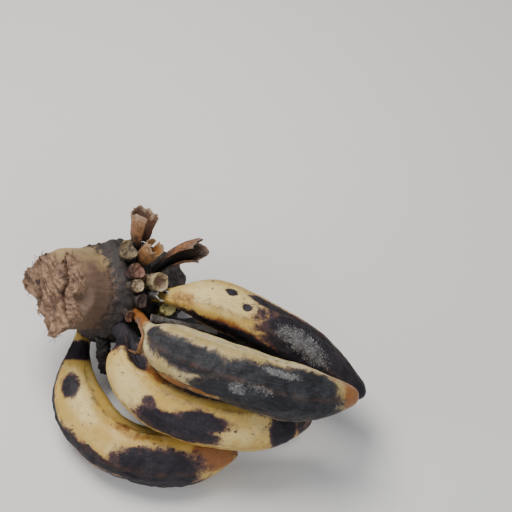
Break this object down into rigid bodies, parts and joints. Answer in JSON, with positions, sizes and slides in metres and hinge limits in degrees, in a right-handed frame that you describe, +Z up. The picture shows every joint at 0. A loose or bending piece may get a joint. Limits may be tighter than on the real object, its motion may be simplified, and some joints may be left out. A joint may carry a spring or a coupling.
{
  "type": "hand of plantains",
  "caption": "Hand of very ripe plantains on a torn length of stalk with broken stubs and dried husks, lying flat.",
  "frame": {"origin": "on the table, under the middle of the hand's bounding box", "axes": "+X from the stalk's torn end towards the fruit tips, +Z up off the table"},
  "size_m": [0.298, 0.2364, 0.1403],
  "materials": {
    "yellow_peel": "waxy, blotched",
    "black_peel": "dull, with mould flecks",
    "stalk": "fibrous",
    "dried_stem": "dry and wrinkled",
    "dried_peel": "dry and curled"
  },
  "bodies": {
    "root": {"stalk": "stalk", "banana_1": "yellow_peel", "banana_2": "yellow_peel", "banana_3": "black_peel", "banana_4": "yellow_peel", "banana_5": "black_peel", "banana_6": "black_peel", "stub_1": "dried_stem", "stub_2": "dried_stem", "stub_3": "dried_stem", "stub_4": "dried_stem", "stub_5": "dried_stem", "stub_6": "dried_stem", "stub_7": "dried_stem", "stub_8": "dried_stem", "stub_9": "dried_stem", "husk_1": "dried_peel", "husk_2": "dried_peel", "husk_3": "dried_peel", "husk_4": "dried_peel"}
  },
  "joints": []
}
